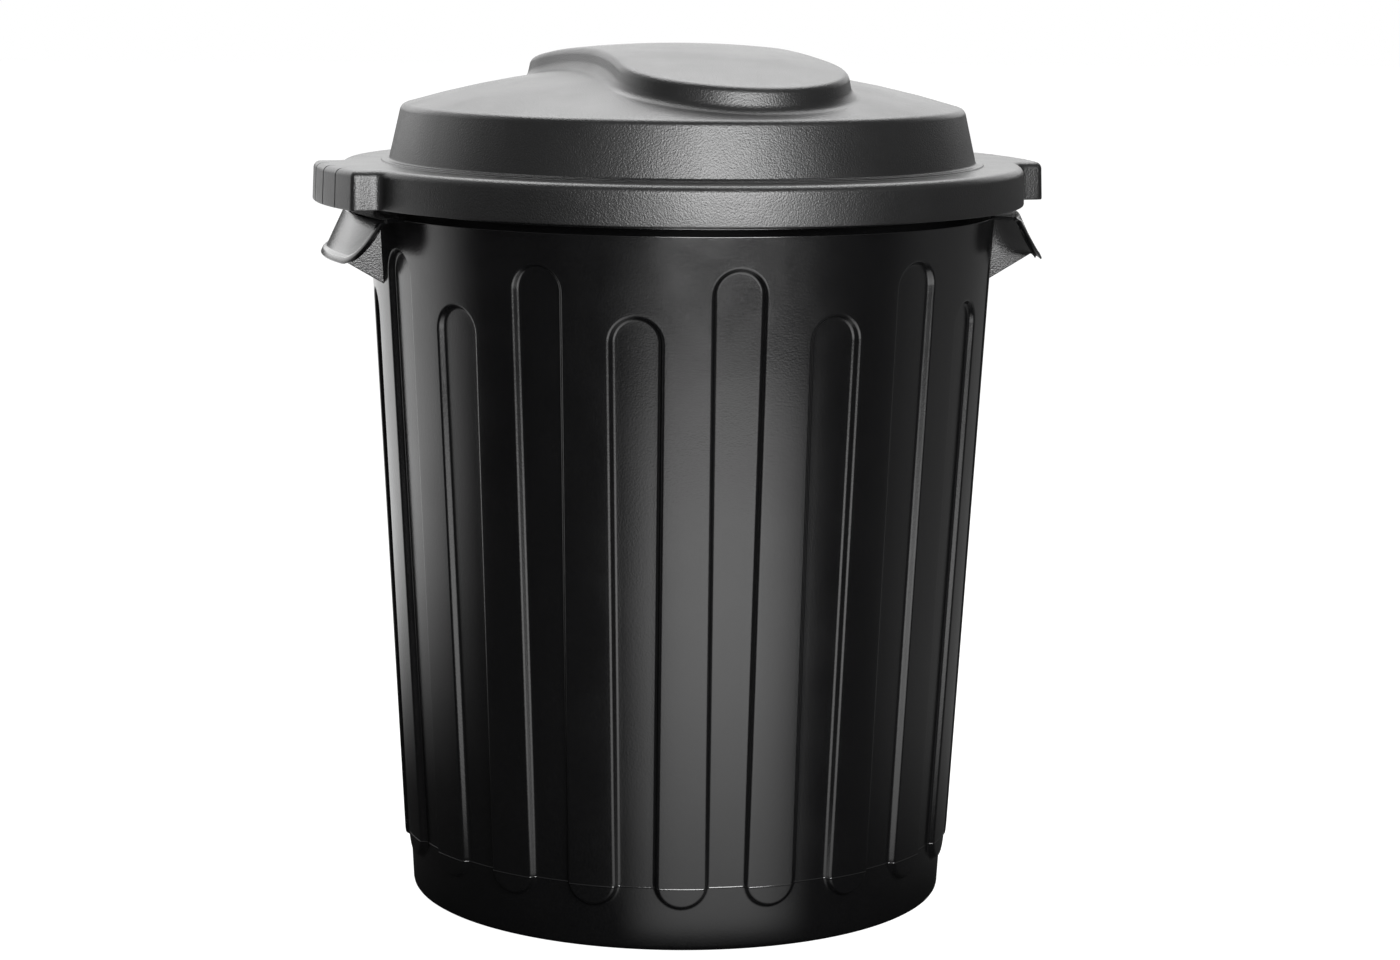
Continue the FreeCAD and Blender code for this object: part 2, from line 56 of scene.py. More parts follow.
SHOULDER = 0.4825
RIM_RADIUS = 0.2316
RIM_LIP = 0.015
RIM_ROUND = 0.0011
FOOT_ROUND = 0.004
INNER_FOOT_ROUND = 0.0025
BASE_THICKNESS = 0.0032
BASE_RISE = 0.005
BASE_ROUND = 0.002
STAND_RADIUS = 0.1725
SLOPE = math.atan((MOUTH_RADIUS - FOOT_RADIUS) / RIM_HEIGHT)
HALF_CELL = math.pi / 2 / FLUTE_PAIRS

# How finely the wall is divided: faces across a flute's floor, across half a rib, up the
# straight of a flute, along each side of the fans at its ends, and round a corner.
FLOOR_FACES = 4
RIB_FACES = 4
STRAIGHT_FACES = 10
FAN_FACES = 5
CORNER_FACES = 4

# Points closer than this are one, and edges sharper than this stay sharp in the shading.
SEAM = 2e-5
SHARP_EDGE = math.radians(35)


# Work on meshes.


def select_only(*pieces):
    bpy.ops.object.select_all(action="DESELECT")
    for piece in pieces:
        piece.select_set(True)
    bpy.context.view_layer.objects.active = pieces[0]


@contextmanager
def editing(piece):
    """Edit mode with all of a piece's mesh selected."""
    select_only(piece)
    bpy.ops.object.mode_set(mode="EDIT")
    bpy.ops.mesh.select_all(action="SELECT")
    yield
    bpy.ops.object.mode_set(mode="OBJECT")


def shaped_grid(columns, rows, place):
    """Add a grid of so many faces and lay out its points, each where place(column, row) says."""
    bpy.ops.object.select_all(action="DESELECT")
    bpy.ops.mesh.primitive_grid_add(x_subdivisions=columns, y_subdivisions=rows, size=2)
    patch = bpy.context.object
    for point in patch.data.vertices:
        column = round((point.co.x + 1) / 2 * columns)
        row = round((point.co.y + 1) / 2 * rows)
        point.co = place(column, row)
    return patch


def close_seams(piece):
    """Merge points that lie together and turn all faces the same way."""
    with editing(piece):
        bpy.ops.mesh.remove_doubles(threshold=SEAM)
        bpy.ops.mesh.dissolve_degenerate(threshold=SEAM / 10)
        bpy.ops.mesh.normals_make_consistent(inside=False)


def face_out(sheet, outward):
    """Turn the faces of an open sheet the other way if most of them look inward."""
    if sum(face.normal.dot(outward) * face.area for face in sheet.data.polygons) < 0:
        with editing(sheet):
            bpy.ops.mesh.flip_normals()


def named(piece, name):
    piece.name = name
    piece.data.name = name
    return piece


def joined(name, pieces):
    select_only(*pieces)
    bpy.ops.object.join()
    return named(bpy.context.object, name)


def apply_modifier(piece, kind, **settings):
    select_only(piece)
    modifier = piece.modifiers.new(kind.lower(), kind)
    for name, value in settings.items():
        setattr(modifier, name, value)
    bpy.ops.object.modifier_apply(modifier=modifier.name)


def mirror(piece, x, y):
    apply_modifier(piece, "MIRROR", use_axis=(x, y, False), use_clip=True, merge_threshold=SEAM)


def smooth(piece):
    """Shade smooth, with wide faces kept even beside narrow rounds."""
    select_only(piece)
    bpy.ops.object.shade_smooth_by_angle(angle=SHARP_EDGE)
    apply_modifier(piece, "WEIGHTED_NORMAL", mode="FACE_AREA", weight=60, keep_sharp=True)


# Points and outlines.


def evenly(first, last, faces):
    return [first + (last - first) * k / faces for k in range(faces + 1)]


def mix(a, b, share):
    return tuple(p + (q - p) * share for p, q in zip(a, b))


def from_centre(radius, angle):
    return Vector((radius * math.cos(angle), radius * math.sin(angle)))


def over(plan, height):
    return Vector((plan.x, plan.y, height))


def rounded(corners, faces=CORNER_FACES):
    """Points of an outline of corners (x, y, round), with each corner that has a round bent into
    an arc of so many faces."""
    points = []
    for i, (x, y, radius) in enumerate(corners):
        corner = Vector((x, y))
        if not radius:
            points.append(corner)
            continue
        back = (Vector(corners[i - 1][:2]) - corner).normalized()
        onward = (Vector(corners[i + 1][:2]) - corner).normalized()
        between = back.angle(onward) / 2
        tangent = radius / math.tan(between)
        centre = corner + (back + onward).normalized() * (radius / math.sin(between))
        first = corner + back * tangent - centre
        turn = math.pi - 2 * between
        sign = 1 if back.x * onward.y - back.y * onward.x < 0 else -1
        for k in range(faces + 1):
            points.append(centre + Matrix.Rotation(sign * turn * k / faces, 2) @ first)
    return points


# Bin wall: half a cell of it, from the middle of a flute to the middle of a rib, is laid out on
# lines that cross the flute's edge. Half a short and half a tall cell are mirrored and then
# copied round.


def cone_radius(inset, up, out):
    """Radius of the wall at a distance up its slope and out from the recessed cone."""
    return FOOT_RADIUS - inset / math.cos(SLOPE) + up * math.sin(SLOPE) + out * math.cos(SLOPE)


def cone_height(up, out):
    return up * math.cos(SLOPE) - out * math.sin(SLOPE)


def on_wall(inset, ups, out):
    """Rows (radius, height) of the wall at distances up its slope."""
    return [(cone_radius(inset, up, out), cone_height(up, out)) for up in ups]


def proud_radius(height):
    """Radius of the wall between the flutes."""
    return FOOT_RADIUS + STEP + math.tan(SLOPE) * height


def fan_centre(top):
    """Distance up the slope of the middle of a flute's round top."""
    return top / math.cos(SLOPE) - FLUTE_HALF_TOP - STEP


# Distances up the slope: middles of the flutes' round tops and of the ribs' round ends, and the
# line at which the foot begins.
SHORT_FAN = fan_centre(SHORT_TOP)
TALL_FAN = fan_centre(TALL_TOP)
FAN_RISE = TALL_FAN - SHORT_FAN
RIB_END_CENTRE = (RIB_END - FLUTE_HALF_FOOT + FOOT_RADIUS * math.sin(HALF_CELL)) / (
    1 - math.sin(SLOPE) * math.sin(HALF_CELL))
FOOT_LINE = RIB_END_CENTRE - FAN_RISE


def step_profile():
    """Steep step at a flute's edge, rounded at its foot and top: distances (across, out)."""
    foot = (STEP - STEP_RUN) / 2
    top = (STEP + STEP_RUN) / 2
    return rounded([
        (-STEP, 0, 0),
        (foot, 0, STEP_ROUND),
        (top, STEP, STEP_ROUND),
        (2 * STEP, STEP, 0),
    ])[1:-1]


def crossing_lines(inset, fan, straight):
    """Lines across a flute's edge, from its foot to its top, as (start on the floor, point on the
    edge, direction, end on the rib), each (across, up)."""
    # on the inside a flute is wider, which keeps the wall about even across the step
    grown = inset * (math.sqrt(2) - 1)
    half_top = FLUTE_HALF_TOP + grown
    half_foot = FLUTE_HALF_FOOT + grown

    def side(up, turn=HALF_CELL):
        return cone_radius(inset, up, 0) * math.sin(turn)

    rib = Vector((side(RIB_END_CENTRE), RIB_END_CENTRE))
    rib_round = rib.x - half_foot
    starts = [(side(FOOT_LINE, turn), FOOT_LINE) for turn in evenly(HALF_CELL, 0, FAN_FACES)]
    starts += [(0, up) for up in evenly(FOOT_LINE, RIB_END_CENTRE, FAN_FACES)[1:]]
    lines = []
    for start in starts:
        outward = (Vector(start) - rib).normalized()
        lines.append((start, rib + outward * rib_round, -outward, tuple(rib)))
    for up in straight[1:]:
        share = (up - RIB_END_CENTRE) / (fan - RIB_END_CENTRE)
        edge = Vector((half_foot + (half_top - half_foot) * share, up))
        lines.append(((0, up), edge, Vector((1, 0)), (side(up), up)))
    centre = Vector((0, fan))
    top = fan + FAN_RISE
    ends = [(side(up), up) for up in evenly(fan, top, FAN_FACES)[1:]]
    ends += [(side(top, turn), top) for turn in evenly(HALF_CELL, 0, FAN_FACES)[1:]]
    for end in ends:
        outward = (Vector(end) - centre).normalized()
        lines.append((tuple(centre), centre + outward * half_top, outward, end))
    return lines


def flute_patch(inset, fan, straight, angle_of):
    """Half a flute with half a rib beside it."""
    profile = step_profile()
    lines = crossing_lines(inset, fan, straight)

    def place(ring, row):
        start, edge, way, end = lines[row]
        step = ring - FLOOR_FACES
        if step < 0:
            across, up = mix(start, edge + way * profile[0][0], ring / FLOOR_FACES)
            out = 0
        elif step < len(profile):
            across, up = edge + way * profile[step][0]
            out = profile[step][1]
        else:
            share = (step - len(profile) + 1) / RIB_FACES
            across, up = mix(edge + way * profile[-1][0], end, share)
            out = STEP
        turn = math.asin(across / cone_radius(inset, up, 0))
        return over(from_centre(cone_radius(inset, up, out), angle_of(turn)), cone_height(up, out))

    return shaped_grid(FLOOR_FACES + len(profile) - 1 + RIB_FACES, len(lines) - 1, place)


def band_patch(rows, angle_of):
    """Band of the wall that follows rows of (radius, height)."""
    turns = evenly(HALF_CELL, 0, FAN_FACES)

    def place(column, row):
        radius, height = rows[row]
        return over(from_centre(radius, angle_of(turns[column])), height)

    return shaped_grid(FAN_FACES, len(rows) - 1, place)


def crest_rows(inset):
    """Top of the wall: the shoulder where it steps back in under the lid and, on the outside, the
    turned-out rim with its lip."""
    back = inset / math.cos(SLOPE)
    start = on_wall(inset, [TALL_FAN + FAN_RISE], STEP)[0]
    corners = [
        (*start, 0),
        (proud_radius(SHOULDER) - back, SHOULDER, RIM_ROUND),
        (proud_radius(SHOULDER + STEP) - STEP - back, SHOULDER + STEP, RIM_ROUND),
    ]
    if not inset:
        corners += [
            (MOUTH_RADIUS, RIM_HEIGHT - WALL, RIM_ROUND),
            (RIM_RADIUS - WALL, RIM_HEIGHT - WALL, RIM_ROUND),
            (RIM_RADIUS - WALL, RIM_HEIGHT - RIM_LIP, RIM_ROUND),
            (RIM_RADIUS, RIM_HEIGHT - RIM_LIP, RIM_ROUND),
            (RIM_RADIUS, RIM_HEIGHT, 2 * RIM_ROUND),
        ]
    return rounded(corners + [(MOUTH_RADIUS - WALL / math.cos(SLOPE), RIM_HEIGHT, 0)])


def base_rows(inset, floor, corner):
    """Foot of the wall, ring to stand on and raised middle."""
    line = on_wall(inset, [FOOT_LINE], 0)[0]
    foot = FOOT_RADIUS - inset / math.cos(SLOPE) + floor * math.tan(SLOPE)
    return rounded([
        (*line, 0),
        (foot, floor, corner),
        (STAND_RADIUS, floor, BASE_ROUND),
        (STAND_RADIUS - BASE_RISE, floor + BASE_RISE, BASE_ROUND),
        (0, floor + BASE_RISE, 0),
    ])


def wall_patches(inset, floor, corner):
    """Patches of one side of the wall: outside, or inside with an inset."""
    straight = evenly(RIB_END_CENTRE, SHORT_FAN, STRAIGHT_FACES)
    above_short = evenly(SHORT_FAN, TALL_FAN, FAN_FACES)
    above_tall = evenly(TALL_FAN, TALL_FAN + FAN_RISE, FAN_FACES)
    base = base_rows(inset, floor, corner)
    crest = crest_rows(inset)

    def from_short(turn):
        return turn

    def from_tall(turn):
        return 2 * HALF_CELL - turn

    return [
        flute_patch(inset, SHORT_FAN, straight, from_short),
        flute_patch(inset, TALL_FAN, straight + above_short[1:], from_tall),
        band_patch(on_wall(inset, above_tall[:-1], STEP) + crest, from_short),
        band_patch(crest, from_tall),
        band_patch(base, from_short),
        band_patch(base, from_tall),
    ]


def bin_wall():
    outside = wall_patches(0, 0, FOOT_ROUND)
    inside = wall_patches(WALL, BASE_THICKNESS, INNER_FOOT_ROUND)
    wall = joined("bin_moulding", outside + inside)
    mirror(wall, False, True)
    with editing(wall):
        bpy.ops.mesh.spin(
            steps=FLUTE_PAIRS - 1, dupli=True, angle=math.tau * (1 - 1 / FLUTE_PAIRS),
            center=(0, 0, 0), axis=(0, 0, 1))
    close_seams(wall)
    return wall


# Carrying handles: a sheet out from the wall that bends down into a flap with a beaded edge, and
# two gussets under it.
SHELF = 0.484
SHELF_REACH = 0.017
SHELF_RADIUS = proud_radius(SHELF) + SHELF_REACH
SHELF_ROOT = 0.95 * WALL
SHELF_BEND = 0.002
HANDLE_THICKNESS = 0.0026
HANDLE_HALF = 0.092
HANDLE_BEVEL = 0.001
HANDLE_EDGE = math.radians(65)
FLAP_FOOT = 0.452
FLAP_FLARE = 0.015
FLAP_LEAN = FLAP_FLARE / (SHELF - FLAP_FOOT)
FLAP_CORNER = 0.029
BEAD = 0.0018
GUSSET_THICKNESS = 0.0024
GUSSET_FOOT = 0.435
GUSSET_ASIDE = 0.0355
GUSSET_BEVEL = 0.0005
# how much of the shelf's length is left at the wall, where its ends are cut back
SHELF_CUT = 0.86
# section of the bead: distance in from the flap's edge, and height
BEAD_SECTION = (
    (0.0062, 0), (0.0055, 0.0002), (0.0050, 0.0008), (0.0045, 0.0015), (0.0038, BEAD),
    (0.0012, BEAD), (0.0005, 0.0014), (0, 0.0008),
)
# faces round a corner of the flap, along half its foot, down inside its bead, and round a bevel
FLAP_CORNER_FACES = 9
FLAP_FOOT_FACES = 7
FLAP_FACES = 5
BEVEL_FACES = 3


def flap_radius(height, out=0):
    """Radius of the flap's outer face at a height, or of a face so far out from it."""
    return SHELF_RADIUS + FLAP_LEAN * (SHELF - height) + out * math.hypot(1, FLAP_LEAN)


def beside_x(radius, y, height):
    """Point at a radius that is seen at y from the handle's side of the bin."""
    return Vector((math.sqrt(radius ** 2 - y ** 2), y, height))


def flap_edge(margin, top):
    """Half outline of the flap, drawn in by a margin: from its upper corner to its middle."""
    turn_y = HANDLE_HALF - FLAP_CORNER
    turn_z = FLAP_FOOT + FLAP_CORNER
    reach = FLAP_CORNER - margin
    points = [(HANDLE_HALF - margin, top)]
    for angle in evenly(0, math.pi / 2, FLAP_CORNER_FACES):
        points.append((turn_y + reach * math.cos(angle), turn_z - reach * math.sin(angle)))
    return points + [(y, turn_z - reach) for y in evenly(turn_y, 0, FLAP_FOOT_FACES)[1:]]


def thicken_handle(sheet):
    """Give the sheet its thickness inward, with the bead's height added along the flap's edge."""
    group = sheet.vertex_groups.new(name="bead")
    for point in sheet.data.vertices:
        raised = point.co.xy.length - flap_radius(point.co.z)
        if point.co.z < SHELF - 2 * SHELF_BEND and raised > SEAM:
            group.add([point.index], min(raised / math.hypot(1, FLAP_LEAN) / BEAD, 1), "REPLACE")
    apply_modifier(
        sheet, "SOLIDIFY", thickness=HANDLE_THICKNESS + BEAD, offset=-1, vertex_group="bead",
        thickness_vertex_group=HANDLE_THICKNESS / (HANDLE_THICKNESS + BEAD), use_even_offset=True)
    sheet.vertex_groups.clear()
    apply_modifier(
        sheet, "BEVEL", width=HANDLE_BEVEL, segments=BEVEL_FACES, limit_method="ANGLE",
        angle_limit=HANDLE_EDGE)


def handle_sheet():
    """Half of the shelf and flap, from the upper corner of the flap to its middle, mirrored."""
    bend = rounded([
        (proud_radius(SHELF) - SHELF_ROOT, SHELF, 0),
        (SHELF_RADIUS, SHELF, SHELF_BEND),
        (flap_radius(FLAP_FOOT), FLAP_FOOT, 0),
    ])[:-1]
    top = bend[-1].y
    edges = [flap_edge(margin, top) for margin, out in BEAD_SECTION]
    inner = edges[0]
    columns = len(inner) - 1
    crest = [(inner[0][0] * (1 - column / columns), top) for column in range(columns + 1)]
    along = [edge[0][0] for edge in reversed(edges[1:])] + [y for y, z in crest]

    def flap(column, row):
        if row < FLAP_FACES:
            y, z = mix(crest[column], inner[column], row / FLAP_FACES)
            out = 0
        else:
            y, z = edges[row - FLAP_FACES][column]
            out = BEAD_SECTION[row - FLAP_FACES][1] if column else 0
        return beside_x(flap_radius(z, out), y, z)

    def shelf(column, row):
        radius, height = bend[row]
        return beside_x(radius, along[column] * (1 if row else SHELF_CUT), height)

    sheet = joined("handle", [
        shaped_grid(columns, FLAP_FACES + len(edges) - 1, flap),
        shaped_grid(len(along) - 1, len(bend) - 1, shelf),
    ])
    mirror(sheet, False, True)
    close_seams(sheet)
    face_out(sheet, Vector((1, 0, 0)))
    thicken_handle(sheet)
    return sheet


def gusset(aside):
    """Upright plate square to the handle, rooted in the wall, the shelf and the flap."""
    inside = HANDLE_THICKNESS / 2
    web = SHELF - inside
    tip = FLAP_FOOT + HANDLE_THICKNESS
    corners = (
        ((proud_radius(web) - WALL / 2, web), (proud_radius(GUSSET_FOOT) - WALL / 2, GUSSET_FOOT)),
        ((flap_radius(web, -inside), web), (flap_radius(tip, -inside), tip)),
    )

    def place(column, row):
        radius, height = corners[column][row]
        return beside_x(radius, aside, height)

    plate = shaped_grid(1, 1, place)
    apply_modifier(plate, "SOLIDIFY", thickness=GUSSET_THICKNESS, offset=0)
    apply_modifier(plate, "BEVEL", width=GUSSET_BEVEL, segments=BEVEL_FACES, limit_method="ANGLE")
    close_seams(plate)
    return plate


def carrying_handles():
    right = joined("right_handle", [handle_sheet(), gusset(GUSSET_ASIDE), gusset(-GUSSET_ASIDE)])
    select_only(right)
    bpy.ops.object.duplicate()
    left = bpy.context.object
    left.name = "left_handle"
    left.data.transform(Matrix.Rotation(math.pi, 4, "Z"))
    return [right, left]


def bin_moulding():
    piece = joined("bin_moulding", [bin_wall()] + carrying_handles())
    smooth(piece)
    return piece


# Lid: a quarter of it is laid out on lines that run from the middle of the grip to the skirt's
# foot, and is mirrored twice, thickened inward and turned to where it lies.
LID_TURN = math.radians(9)
LID_WALL = 0.0025
LID_FOOT = 0.490
FLANGE = 0.5165
SKIRT_RADIUS = 0.239
SKIRT_DRAFT = 0.001
SKIRT_BRIM = 0.0052
# rows down the skirt: share of its height, and how far in its eased foot lies there
SKIRT_ROWS = ((0.3, 0), (0.6, 0), (0.95, 0), (0.985, 0.0002), (1, 0.0006))
RING_RADIUS = 0.210
RING_TOP = 0.5177
RING_ROUND = 0.0007
RING_SLANT = 0.0006
RING_FOOT_ROUND = 0.0005
CROWN_FOOT = 0.205
CROWN_FOOT_ROUND = 0.0016
CROWN_RADIUS = 0.1965
CROWN_ROUND = 0.0055
CROWN = 0.555
APEX = 0.584
DOME_RADIUS = (CROWN_RADIUS ** 2 + (APEX - CROWN) ** 2) / (2 * (APEX - CROWN))
DOME_CENTRE = APEX - DOME_RADIUS

# Ears of the lid, with parallel sides and thumb grooves.
EAR_BRIM = 0.0045
EAR_RADIUS = 0.258
EAR_HALF = math.radians(12.8)
EAR_SIDE = EAR_RADIUS * math.sin(EAR_HALF)
EAR_CORNER = 0.005
EAR_ROOT = 0.006
GROOVE_TURN = math.radians(6.3)
GROOVE_DEPTH = 0.0012
GROOVE_REACH = 0.0034
GROOVE_END = 0.0006
# half section of a groove: distance from its middle, and share of its depth
GROOVE_SECTION = ((0, 1), (0.00035, 0.9), (0.00065, 0.3), (0.0010, 0))
# places between two grooves, and from a groove to the ear's corner, as shares of the way
BETWEEN_GROOVES = (0.35, 0.65)
PAST_GROOVE = (0.4, 0.75, 1)
CORNER_OUT = EAR_RADIUS - EAR_CORNER
CORNER_ANGLE = math.asin((EAR_SIDE - EAR_CORNER) / CORNER_OUT)
ROOT_OUT = SKIRT_RADIUS + EAR_ROOT
ROOT_ANGLE = math.asin((EAR_SIDE + EAR_ROOT) / ROOT_OUT)

# Waisted grip: two lobes with a neck between them.
GRIP_LIFT = 0.0145
GRIP_HALF = 0.0975
GRIP_LOBE = 0.0845
GRIP_NECK = 0.780
GRIP_ASIDE = math.sqrt((GRIP_LOBE + GRIP_NECK) ** 2 - GRIP_HALF ** 2)
GRIP_DRAFT = math.tan(math.radians(12))
GRIP_ROUND = 0.006
GRIP_FOOT_ROUND = 0.009
# how far in from the grip's edge and out from its foot its section is drawn
GRIP_INWARD = 0.010
GRIP_OUTWARD = 0.0095

# How finely the lid is divided: faces along the skirt past an ear, along an ear's side, round the
# brim, over the dome beside the grip, and across the grip's top as well as round its edges.
SKIRT_FACES = 36
SIDE_FACES = 4
BRIM_FACES = 6
DOME_FACES = 4
GRIP_FACES = 6
SKIRT_ANGLES = evenly(ROOT_ANGLE, math.pi / 2, SKIRT_FACES)[1:]


def ball_height(plan, lift=0):
    """Height of the dome, or of a ball lifted from it, over a point of the plan."""
    return DOME_CENTRE + math.sqrt((DOME_RADIUS + lift) ** 2 - plan.x ** 2 - plan.y ** 2)


def ear_stations(end):
    """Places along half an ear's face, from its middle, with the share of groove depth there."""
    beside = EAR_RADIUS * GROOVE_TURN
    stations = list(GROOVE_SECTION)
    stations += [(beside * share, 0) for share in BETWEEN_GROOVES]
    stations += [(beside - aside, depth) for aside, depth in reversed(GROOVE_SECTION)]
    stations += [(beside + aside, depth) for aside, depth in GROOVE_SECTION[1:]]
    return stations + [(beside + (end - beside) * share, 0) for share in PAST_GROOVE]


EAR_STATIONS = ear_stations(EAR_RADIUS * CORNER_ANGLE)


def brim_outline(inward):
    """Quarter outline of the lid's edge, drawn in by a distance, from the middle of an ear."""
    past = max(inward - EAR_CORNER, 0)
    corner_out = CORNER_OUT - past
    corner_angle = math.asin((EAR_SIDE - EAR_CORNER - past) / corner_out)
    squeeze = corner_angle / CORNER_ANGLE
    points = []
    for place, depth in EAR_STATIONS:
        points.append(from_centre(EAR_RADIUS - inward, squeeze * place / EAR_RADIUS))
    corner = from_centre(corner_out, corner_angle)
    reach = max(EAR_CORNER - inward, SEAM)
    turns = evenly(corner_angle, math.pi / 2, CORNER_FACES)
    points += [corner + from_centre(reach, turn) for turn in turns[1:]]
    root = from_centre(ROOT_OUT, ROOT_ANGLE)
    turns = evenly(-math.pi / 2, ROOT_ANGLE - math.pi, CORNER_FACES)
    bend = [root + from_centre(EAR_ROOT + inward, turn) for turn in turns]
    points += [points[-1].lerp(bend[0], k / SIDE_FACES) for k in range(1, SIDE_FACES)]
    points += bend
    return points + [from_centre(SKIRT_RADIUS - inward, angle) for angle in SKIRT_ANGLES]


def column_angles():
    """Angles of the lines over the crown: even over the ear and its root, and even past them."""
    ear_columns = len(EAR_STATIONS) - 1 + 2 * CORNER_FACES + SIDE_FACES
    return evenly(0, ROOT_ANGLE, ear_columns) + SKIRT_ANGLES


def grip_foot(angle):
    """Where a ray meets the grip's outline at the crown's level: the point, the way out from the
    grip, and the point of its middle line that this part of the outline belongs to."""
    neck = Vector((GRIP_ASIDE, 0))
    lobe = Vector((0, GRIP_HALF))
    meet = neck.lerp(lobe, GRIP_NECK / (GRIP_NECK + GRIP_LOBE))
    if angle < math.atan2(meet.y, meet.x):
        half_chord = math.sqrt(GRIP_NECK ** 2 - (GRIP_ASIDE * math.sin(angle)) ** 2)
        point = from_centre(GRIP_ASIDE * math.cos(angle) - half_chord, angle)
        return point, (neck - point).normalized(), Vector((0, point.y * GRIP_HALF / meet.y))
    half_chord = math.sqrt(GRIP_LOBE ** 2 - (GRIP_HALF * math.cos(angle)) ** 2)
    point = from_centre(GRIP_HALF * math.sin(angle) + half_chord, angle)
    return point, (point - lobe).normalized(), lobe


def grip_line(angle):
    """Points of one line over the grip: its top, rounded edge, drafted wall and rounded foot."""
    foot, way, middle = grip_foot(angle)

    def meets(lift):
        """Where the drafted wall meets the dome, or the ball lifted from it, closer each time."""
        height = CROWN
        for _ in range(8):
            out = -(height - CROWN) * GRIP_DRAFT
            height = ball_height(foot + way * out, lift)
        return out, height

    edge = meets(GRIP_LIFT)
    base = meets(0)
    inner = edge[0] - GRIP_INWARD
    outer = base[0] + GRIP_OUTWARD
    section = rounded([
        (inner, ball_height(foot + way * inner, GRIP_LIFT), 0),
        (*edge, GRIP_ROUND),
        (*base, GRIP_FOOT_ROUND),
        (outer, ball_height(foot + way * outer), 0),
    ], GRIP_FACES)
    top = [middle.lerp(foot + way * inner, k / GRIP_FACES) for k in range(GRIP_FACES)]
    points = [over(plan, ball_height(plan, GRIP_LIFT)) for plan in top]
    return points + [over(foot + way * out, height) for out, height in section]


def crown_section():
    """Crown's rounded edge, its cone and the ring round its foot, as (radius, height). The first
    and last corners only give the rounds beside them their direction."""
    beside = 0.010
    inside = CROWN_RADIUS - beside
    return rounded([
        (inside, ball_height(Vector((inside, 0))), 0),
        (CROWN_RADIUS, CROWN, CROWN_ROUND),
        (CROWN_FOOT, RING_TOP, CROWN_FOOT_ROUND),
        (RING_RADIUS, RING_TOP, RING_ROUND),
        (RING_RADIUS + RING_SLANT, FLANGE, RING_FOOT_ROUND),
        (RING_RADIUS + beside, FLANGE, 0),
    ])[1:-1]


def brim_lines(columns):
    """Rows of points from the flange over the brim and down the skirt."""
    ear_columns = len(EAR_STATIONS) + CORNER_FACES
    bend_columns = SIDE_FACES + CORNER_FACES
    depths = [GROOVE_DEPTH * depth for place, depth in EAR_STATIONS]
    depths += [0] * (columns + 1 - len(depths))

    def brim_of(column):
        share = min(max((column - ear_columns) / bend_columns, 0), 1)
        return EAR_BRIM + (SKIRT_BRIM - EAR_BRIM) * share

    def row(turn, drop, extra, grooved):
        """One row: turn round the brim, drop below it, inset beyond it and share of the grooves."""
        points = []
        for column in range(columns + 1):
            brim = brim_of(column)
            depth = grooved * depths[column]
            height = FLANGE - brim * (1 - math.cos(turn)) - depth * math.cos(turn)
            height -= drop * (height - LID_FOOT)
            draft = SKIRT_DRAFT * (height - LID_FOOT) / (FLANGE - LID_FOOT)
            inward = brim * (1 - math.sin(turn)) + extra + draft + depth * math.sin(turn)
            points.append(over(brim_outline(inward)[column], height))
        return points

    rows = [row(0, 0, GROOVE_REACH + GROOVE_END, 0), row(0, 0, GROOVE_REACH, 1)]
    rows += [row(turn, 0, 0, 1) for turn in evenly(0, math.pi / 2, BRIM_FACES)]
    rows += [row(math.pi / 2, drop, inset, 1) for drop, inset in SKIRT_ROWS]
    return rows


def lid_moulding():
    angles = column_angles()
    columns = len(angles) - 1
    brim = brim_lines(columns)
    section = crown_section()
    lines = []
    for column, angle in enumerate(angles):
        points = grip_line(angle)
        edge = from_centre(section[0].x, angle)
        outer = points[-1].xy
        for k in range(1, DOME_FACES):
            plan = outer.lerp(edge, k / DOME_FACES)
            points.append(over(plan, ball_height(plan)))
        points += [over(from_centre(radius, angle), height) for radius, height in section]
        # one row halfway over the flange
        points.append(points[-1].lerp(brim[0][column], 0.5))
        lines.append(points + [row[column] for row in brim])
    grid = shaped_grid(columns, len(lines[0]) - 1, lambda column, row: lines[column][row])
    lid = named(grid, "lid_moulding")
    mirror(lid, True, True)
    close_seams(lid)
    face_out(lid, Vector((0, 0, 1)))
    apply_modifier(lid, "SOLIDIFY", thickness=LID_WALL, offset=-1)
    lid.data.transform(Matrix.Rotation(LID_TURN, 4, "Z"))
    smooth(lid)
    return lid


# Camera: distance and height from the foot of the can, its turn round the can, and how it looks.
CAMERA_DISTANCE = 2.4085
CAMERA_HEIGHT = 0.6758
CAMERA_TURN = math.radians(-10.2)
CAMERA_PITCH = math.radians(9.095)
CAMERA_YAW = math.radians(0.35)
CAMERA_ROLL = math.radians(0.638)
CAMERA_LENS = 88.17
SENSOR_WIDTH = 36.0


def place_camera():
    camera = bpy.data.objects.new("camera", bpy.data.cameras.new("camera"))
    bpy.context.scene.collection.objects.link(camera)
    camera.data.lens = CAMERA_LENS
    camera.data.sensor_width = SENSOR_WIDTH
    camera.data.sensor_fit = "HORIZONTAL"
    look = Euler((math.pi / 2 - CAMERA_PITCH, 0, CAMERA_TURN - CAMERA_YAW)).to_matrix()
    turn = look @ Matrix.Rotation(CAMERA_ROLL, 3, "Z")
    stand = Vector((
        CAMERA_DISTANCE * math.sin(CAMERA_TURN),
        -CAMERA_DISTANCE * math.cos(CAMERA_TURN),
        CAMERA_HEIGHT,
    ))
    camera.matrix_world = Matrix.Translation(stand) @ turn.to_4x4()
    bpy.context.scene.camera = camera


def seen_from_camera(right, away, up):
    """Point or direction given as seen from the camera: to the right, away and up."""
    flat = Matrix.Rotation(CAMERA_TURN, 3, "Z")
    return flat @ Vector((right, away, up))


# Shader nodes.


def feed(tree, target, value):
    """Link another node's output to an input, or give the input a fixed value."""
    if isinstance(value, bpy.types.NodeSocket):
        tree.links.new(value, target)
    else:
        target.default_value = value


